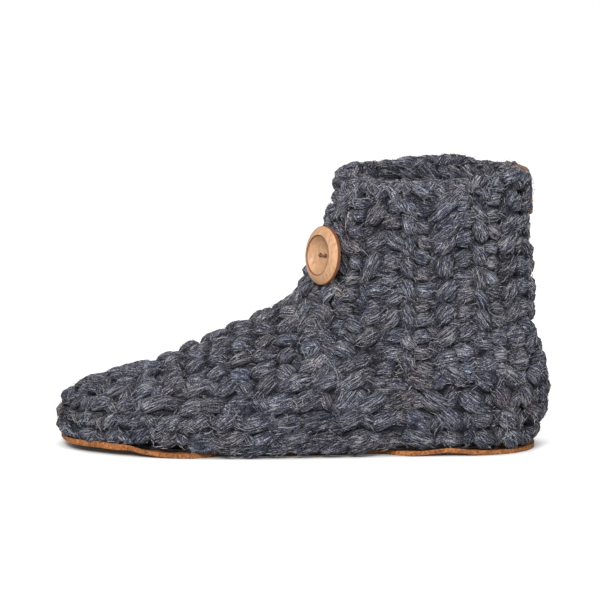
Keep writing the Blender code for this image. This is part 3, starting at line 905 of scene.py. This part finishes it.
class SLIPPER_OT_stage(bpy.types.Operator):
    """Lays the floor and sets the lights and the camera"""

    bl_idname = "slipper.stage"
    bl_label = "Stage"

    def execute(self, context):
        stage = context.scene.slipper_stage
        deselect()
        bpy.ops.mesh.primitive_plane_add(size=12, location=(0, 0, 0))
        floor = context.object
        floor.name = "floor"
        # The floor glows, and its glow is painted darker where the slipper occludes it: a painted contact shadow.
        ground = Finish("floor", 0.9)
        ground.shader.inputs["Base Color"].default_value = (0.30, 0.30, 0.30, 1)
        openness = ground.node("AmbientOcclusion", {"Distance": 0.012}).outputs["AO"]
        glow_with_painted_shadow = ground.ramp(openness, ((0.15, 0.02), (0.75, 0.85), (0.95, 1.0)))
        ground.links.new(glow_with_painted_shadow, ground.shader.inputs["Emission Color"])
        ground.shader.inputs["Emission Strength"].default_value = 0.72
        floor.data.materials.append(ground.material)
        world = bpy.data.worlds.new("studio")
        world.use_nodes = True
        world.node_tree.nodes["Background"].inputs["Color"].default_value = (1, 1, 1, 1)
        world.node_tree.nodes["Background"].inputs["Strength"].default_value = 0.75
        context.scene.world = world
        context.scene.view_settings.view_transform = "Standard"
        for name, place, size, power in (
            ("key", (-0.6, -2.1, 1.5), 0.8, 110.0),
            ("fill", (1.3, -2.2, 1.1), 1.2, 30.0),
            ("top", (-0.1, 0.6, 2.2), 1.2, 15.0),
        ):
            light = bpy.data.lights.new(name, "AREA")
            light.size = size
            light.energy = power
            lamp = bpy.data.objects.new(name, light)
            lamp.location = place
            lamp.rotation_euler = (Vector((0, 0, 0.05)) - lamp.location).to_track_quat("-Z", "Y").to_euler()
            context.scene.collection.objects.link(lamp)
        camera = bpy.data.cameras.new("camera")
        camera.sensor_width = 36
        camera.lens = camera.sensor_width * stage.distance / stage.width
        eye = bpy.data.objects.new("camera", camera)
        target = Vector((-0.0018, 0, 0.0762))
        back = Vector((0, -math.cos(stage.elevation), math.sin(stage.elevation)))
        eye.location = target + back * stage.distance
        eye.rotation_euler = (-back).to_track_quat("-Z", "Y").to_euler()
        context.scene.collection.objects.link(eye)
        context.scene.camera = eye
        return {"FINISHED"}


class SLIPPER_OT_shell(bpy.types.Operator):
    """Makes the wall that shows between the stitches, coloured dark as painted shade in the gaps"""

    bl_idname = "slipper.shell"
    bl_label = "Shaded under wall"

    def execute(self, context):
        yarn = context.scene.slipper_yarn
        shell = merged_copy("upper", "shaded_under_wall")
        mesh = shell.data
        depth = 0.0050
        inner = 0.0020
        normals = [v.normal.copy() for v in mesh.vertices]
        for v, normal in zip(mesh.vertices, normals):
            from_middle = Vector((v.co.x - SHAFT_MIDDLE, v.co.y, 0))
            outward = from_middle.dot(normal) > 0 or v.co.x < 0.0 and normal.z > 0.2
            room = room_under_trim(v.co, normal)
            v.co -= normal * (min(depth, 0.0004 - room) if room < 0.001 else depth if outward else inner)
            v.co = keep_off(v.co)
        mesh.shade_smooth()
        # Painted shade: the wall under the stitches gets a fifth of the main wool colour, so that the gaps look dark.
        colour = [0.2 * c for c in yarn.middle]
        mesh.materials.append(felt_material("under wool in painted shade", colour))
        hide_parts("upper")
        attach(shell, "root")
        return {"FINISHED"}


class SLIPPER_OT_stitches(bpy.types.Operator):
    """Crochets the foot, the shaft and the collar from strands of yarn"""

    bl_idname = "slipper.stitches"
    bl_label = "Crochet stitches"

    def execute(self, context):
        yarn = context.scene.slipper_yarn
        wool = wool_material(yarn)
        unit = unit_strand("strand", 10, 6, 3.0)
        rng = np.random.default_rng(yarn.seed)
        lines = foot_lines()
        band = Strands(unit, rng)
        lay_band(band, lines, yarn, rng)
        lay_skirt(band, yarn, rng)
        lay_crease(band, yarn, rng)
        under = Strands(unit_strand("filling", 8, 5, 2.1), rng)
        lay_under(under, lines, yarn, rng)
        lay_shaft_under(under, yarn, rng)
        vamp = Strands(unit, rng)
        lay_vamp(vamp, lines, yarn, rng)
        shaft = Strands(unit, rng)
        lay_shaft(shaft, yarn, rng)
        lay_long(shaft, yarn, rng)
        collar = Strands(unit, rng)
        lay_collar(collar, yarn, rng)
        for name, group in (
            ("foot_rows", band), ("vamp_stitches", vamp), ("shaft_columns", shaft), ("collar_edge", collar),
            ("filling", under),
        ):
            piece = group.build(name, wool)
            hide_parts("upper")
            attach(piece, "root")
        SHARED["crests"] = [c for group in (band, vamp, shaft, collar) for c in group.crests]
        return {"FINISHED"}


def unit_hair():
    """A thin tapering hair from 0 to 1 along Z, three-sided, as corners and faces."""
    deselect()
    bpy.ops.mesh.primitive_cone_add(vertices=3, radius1=1, radius2=0.35, depth=1, location=(0, 0, 0.5))
    obj = bpy.context.object
    bpy.ops.object.transform_apply(location=True, rotation=True, scale=True)
    bpy.ops.object.mode_set(mode="EDIT")
    for height in (0.34, 0.67):
        bpy.ops.mesh.select_all(action="SELECT")
        bpy.ops.mesh.bisect(plane_co=(0, 0, height), plane_no=(0, 0, 1), use_fill=False)
    bpy.ops.object.mode_set(mode="OBJECT")
    return taken(obj)


class SLIPPER_OT_hairs(bpy.types.Operator):
    """Scatters loose, curling hairs over the wool"""

    bl_idname = "slipper.hairs"
    bl_label = "Loose hairs"

    def execute(self, context):
        yarn = context.scene.slipper_yarn
        rng = np.random.default_rng(yarn.seed + 1)
        unit = unit_hair()
        material = hair_material(yarn)
        for name in ("loose_hairs", "loose_hairs_2"):
            parts = [hair(unit, rng) for _ in range(yarn.hairs // 2)]
            co = np.concatenate([points for points, _ in parts])
            tone = np.repeat([tone for _, tone in parts], len(unit["co"]))[:, None].repeat(3, axis=1)
            piece = joined(name, unit, co, None, tone, material)
            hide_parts("upper")
            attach(piece, "root")
        return {"FINISHED"}


def hair(unit, rng):
    """The corners of one hair on a strand picked by chance, lying along it or standing off it, and its tone."""
    crests = SHARED["crests"]
    place, along, across, normal, length, width, lift = crests[rng.integers(len(crests))]
    u, v = rng.uniform(-0.9, 0.9), rng.uniform(-0.8, 0.8)
    spot, out = wall().touch(place + along * (u * length / 2) + across * (v * width / 2))
    upright = rng.random() < (0.35 if out.z < 0.35 else 0.75)
    root = np.array(spot + out * (lift - 0.0002 - 0.0022 * v * v - 0.0024 * abs(u) ** 2.2))
    heading = along * rng.choice((-1, 1)) + across * rng.normal(0, 0.4)
    heading = heading.normalized() * (0.7 if upright else 1.0) + out * (0.5 if upright else 0.16)
    size = rng.uniform(0.0016, 0.0032) if upright else rng.uniform(0.0022, 0.0056)
    radius = rng.uniform(0.00005, 0.00009) if upright else rng.uniform(0.00010, 0.00017)
    heading, out = np.array(heading.normalized()), np.array(out)
    side = np.cross(heading, out)
    side /= np.linalg.norm(side)
    over = np.cross(side, heading)
    t = unit["co"][:, 2:3]
    line = root + t * size * heading - t * t * size * out * rng.uniform(0.15, 0.6)
    line = line + side * size * (t * t * rng.normal(0, 0.30) + np.sin(t * 2 * np.pi) * rng.normal(0, 0.06))
    points = line + unit["co"][:, 0:1] * radius * side + unit["co"][:, 1:2] * radius * over
    points[:, 2] = np.maximum(points[:, 2], 0.0003)
    return points, rng.choice((0.06, 0.5, 1.2, 1.8, 1.8))


class SLIPPER_OT_sole(bpy.types.Operator):
    """Makes the suede sole with its wavy edge, and finishes the insole and the tab"""

    bl_idname = "slipper.sole"
    bl_label = "Leather and felt"

    def execute(self, context):
        trim = context.scene.slipper_trim
        sole = merged_copy("sole", "suede_sole")
        bpy.ops.object.mode_set(mode="EDIT")
        bpy.ops.mesh.select_all(action="DESELECT")
        bpy.ops.object.mode_set(mode="OBJECT")
        flat = 0.6
        for sign in (1, -1):
            for face in sole.data.polygons:
                face.select = face.normal.z * sign > flat
            for edge in sole.data.edges:
                edge.select = False
            bpy.ops.object.mode_set(mode="EDIT")
            bpy.ops.mesh.select_mode(type="FACE")
            bpy.ops.mesh.inset(thickness=0.005, depth=0, use_boundary=True)
            bpy.ops.mesh.select_all(action="DESELECT")
            bpy.ops.object.mode_set(mode="OBJECT")
        rim = sole_rim(sole.data)
        for index in rim:
            v = sole.data.vertices[index]
            upper_lip = v.co.z - sole_level(v.co.x) > SOLE_EDGE / 2
            v.co.z += edge_wave(v.co.x, v.co.y)
            if upper_lip:
                v.co.z += 0.0011 * smooth_step(-0.122, -0.110, v.co.x) * smooth_step(-0.086, -0.096, v.co.x)
            ends = smooth_step(-0.100, -0.125, v.co.x) + smooth_step(0.090, 0.118, v.co.x)
            v.co.x += (0.0010 if v.co.x > 0 else -0.0020) * ends
            v.co.y += math.copysign(0.0012, v.co.y) * ends * min(1.0, abs(v.co.y) / 0.010)
            tucked = smooth_step(-0.058, -0.040, v.co.x) * smooth_step(0.056, 0.038, v.co.x)
            v.co.y -= math.copysign(0.0060, v.co.y) * tucked
        bevel = sole.modifiers.new("worn edge", "BEVEL")
        bevel.width = 0.0005
        bevel.segments = 2
        bevel.limit_method = "ANGLE"
        bevel.angle_limit = math.radians(50)
        select_only(sole)
        bpy.ops.object.modifier_apply(modifier=bevel.name)
        sole.data.shade_smooth()
        sole.data.set_sharp_from_angle(angle=math.radians(40))
        sole.data.materials.append(suede_material("suede", trim.suede, 0.9))
        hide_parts("sole")
        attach(sole, "root")
        dress("insole", felt_material("felt", trim.felt))
        dress("collar_tab", suede_material("tab leather", trim.tab, 0.62))
        return {"FINISHED"}


def sole_level(x):
    """Height of the sole's underside along X, where the toe springs up."""
    low = [v.co.z for v in NODES["sole"].data.vertices if abs(v.co.x - x) < 0.004]
    return min(low) if low else 0.0


def sole_rim(mesh):
    """The corners of the sole's edge: those that its upright side faces touch."""
    rim = set()
    for face in mesh.polygons:
        if abs(face.normal.z) < 0.5:
            rim.update(face.vertices)
    return sorted(rim)


def dress(node, material):
    """Gives a CAD node its material in every slot."""
    mesh = NODES[node].data
    if not mesh.materials:
        mesh.materials.append(material)
    for slot in NODES[node].material_slots:
        slot.material = material


class SLIPPER_OT_button(bpy.types.Operator):
    """Finishes the wooden button and its thread"""

    bl_idname = "slipper.button"
    bl_label = "Button"

    def execute(self, context):
        trim = context.scene.slipper_trim
        dress("button", wood_material(trim))
        dress("button_thread", felt_material("sewing thread", (0.10, 0.045, 0.025)))
        return {"FINISHED"}


def button_axis():
    """The button's middle and the direction it faces, read from its CAD solid."""
    mesh = NODES["button"].data
    points = np.array([v.co[:] for v in mesh.vertices])
    middle = points.mean(axis=0)
    spread = np.linalg.svd(points - middle, full_matrices=False)[2]
    face = spread[2] * (-1 if spread[2][0] > 0 else 1)
    return Vector(middle), Vector(face)


def wood_material(trim):
    """Turned wood: grain along the board, a burnt line at the crest, a dark edge and a dished middle."""
    wood = Finish("beech", 0.48)
    middle, face = button_axis()
    turn = face.to_track_quat("Z", "Y").inverted().to_euler()
    reach = 0.0160
    crest = 0.63
    shifted = wood.node("VectorMath", {0: wood.place(), 1: middle}, operation="SUBTRACT").outputs["Vector"]
    rotated = wood.node("VectorRotate", {"Vector": shifted, "Rotation": turn}, rotation_type="EULER_XYZ")
    local = rotated.outputs["Vector"]
    split = wood.node("SeparateXYZ", {"Vector": local}).outputs
    flat = wood.node("CombineXYZ", {"X": split["X"], "Y": split["Y"]}).outputs["Vector"]
    radius = wood.node("VectorMath", {0: flat}, operation="LENGTH").outputs["Value"]
    share = wood.node("Math", {0: radius, 1: 1 / reach}, operation="MULTIPLY").outputs["Value"]
    within = wood.node("Math", {0: share, 1: crest}, operation="MINIMUM").outputs["Value"]
    dish = wood.node("Math", {0: within, 1: 2.0}, operation="POWER").outputs["Value"]
    grain = wood.noise(wood.stretched(local, (900, 120, 300)), 1.0, 4.0, 0.6)
    pores = wood.noise(wood.stretched(local, (2600, 380, 900)), 1.0, 2.0)
    body = wood.product(
        tuple(trim.wood),
        wood.ramp(grain, ((0.3, (0.80, 0.74, 0.68)), (0.68, (1.10, 1.10, 1.08)))),
        wood.ramp(pores, ((0.34, (0.72, 0.62, 0.55)), (0.44, 1.0))),
    )
    rings = wood.ramp(
        share, ((0.0, 0.0), (0.615, 0.0), (crest, 1.0), (0.655, 1.0), (0.67, 0.0), (0.93, 0.0), (0.945, 1.0))
    )
    wood.relief(dish, 1.0, 0.0050)
    return wood.done(wood.mixed(rings, body, tuple(trim.burnt)))


class SLIPPER_PT_panel(bpy.types.Panel):
    """Lists the slipper's pieces in the sidebar"""

    bl_idname = "SLIPPER_PT_panel"
    bl_label = "Wool slipper"
    bl_space_type = "VIEW_3D"
    bl_region_type = "UI"
    bl_category = "Slipper"

    def draw(self, context):
        column = self.layout.column()
        for operator in OPERATORS:
            column.operator(operator.bl_idname)
        for group in ("slipper_yarn", "slipper_trim", "slipper_stage"):
            settings = getattr(context.scene, group)
            for name in settings.__annotations__:
                column.prop(settings, name)


OPERATORS = (
    SLIPPER_OT_stage,
    SLIPPER_OT_shell,
    SLIPPER_OT_stitches,
    SLIPPER_OT_hairs,
    SLIPPER_OT_sole,
    SLIPPER_OT_button,
)
GROUPS = (YarnSettings, TrimSettings, StageSettings)


def register():
    for made in (*GROUPS, *OPERATORS, SLIPPER_PT_panel):
        bpy.utils.register_class(made)
    bpy.types.Scene.slipper_yarn = PointerProperty(type=YarnSettings)
    bpy.types.Scene.slipper_trim = PointerProperty(type=TrimSettings)
    bpy.types.Scene.slipper_stage = PointerProperty(type=StageSettings)


def unregister():
    del bpy.types.Scene.slipper_stage
    del bpy.types.Scene.slipper_trim
    del bpy.types.Scene.slipper_yarn
    for made in reversed((*GROUPS, *OPERATORS, SLIPPER_PT_panel)):
        bpy.utils.unregister_class(made)


def main():
    register()
    bpy.ops.slipper.stage()
    bpy.ops.slipper.shell()
    bpy.ops.slipper.stitches()
    bpy.ops.slipper.hairs()
    bpy.ops.slipper.sole()
    bpy.ops.slipper.button()


if __name__ == "__main__":
    main()
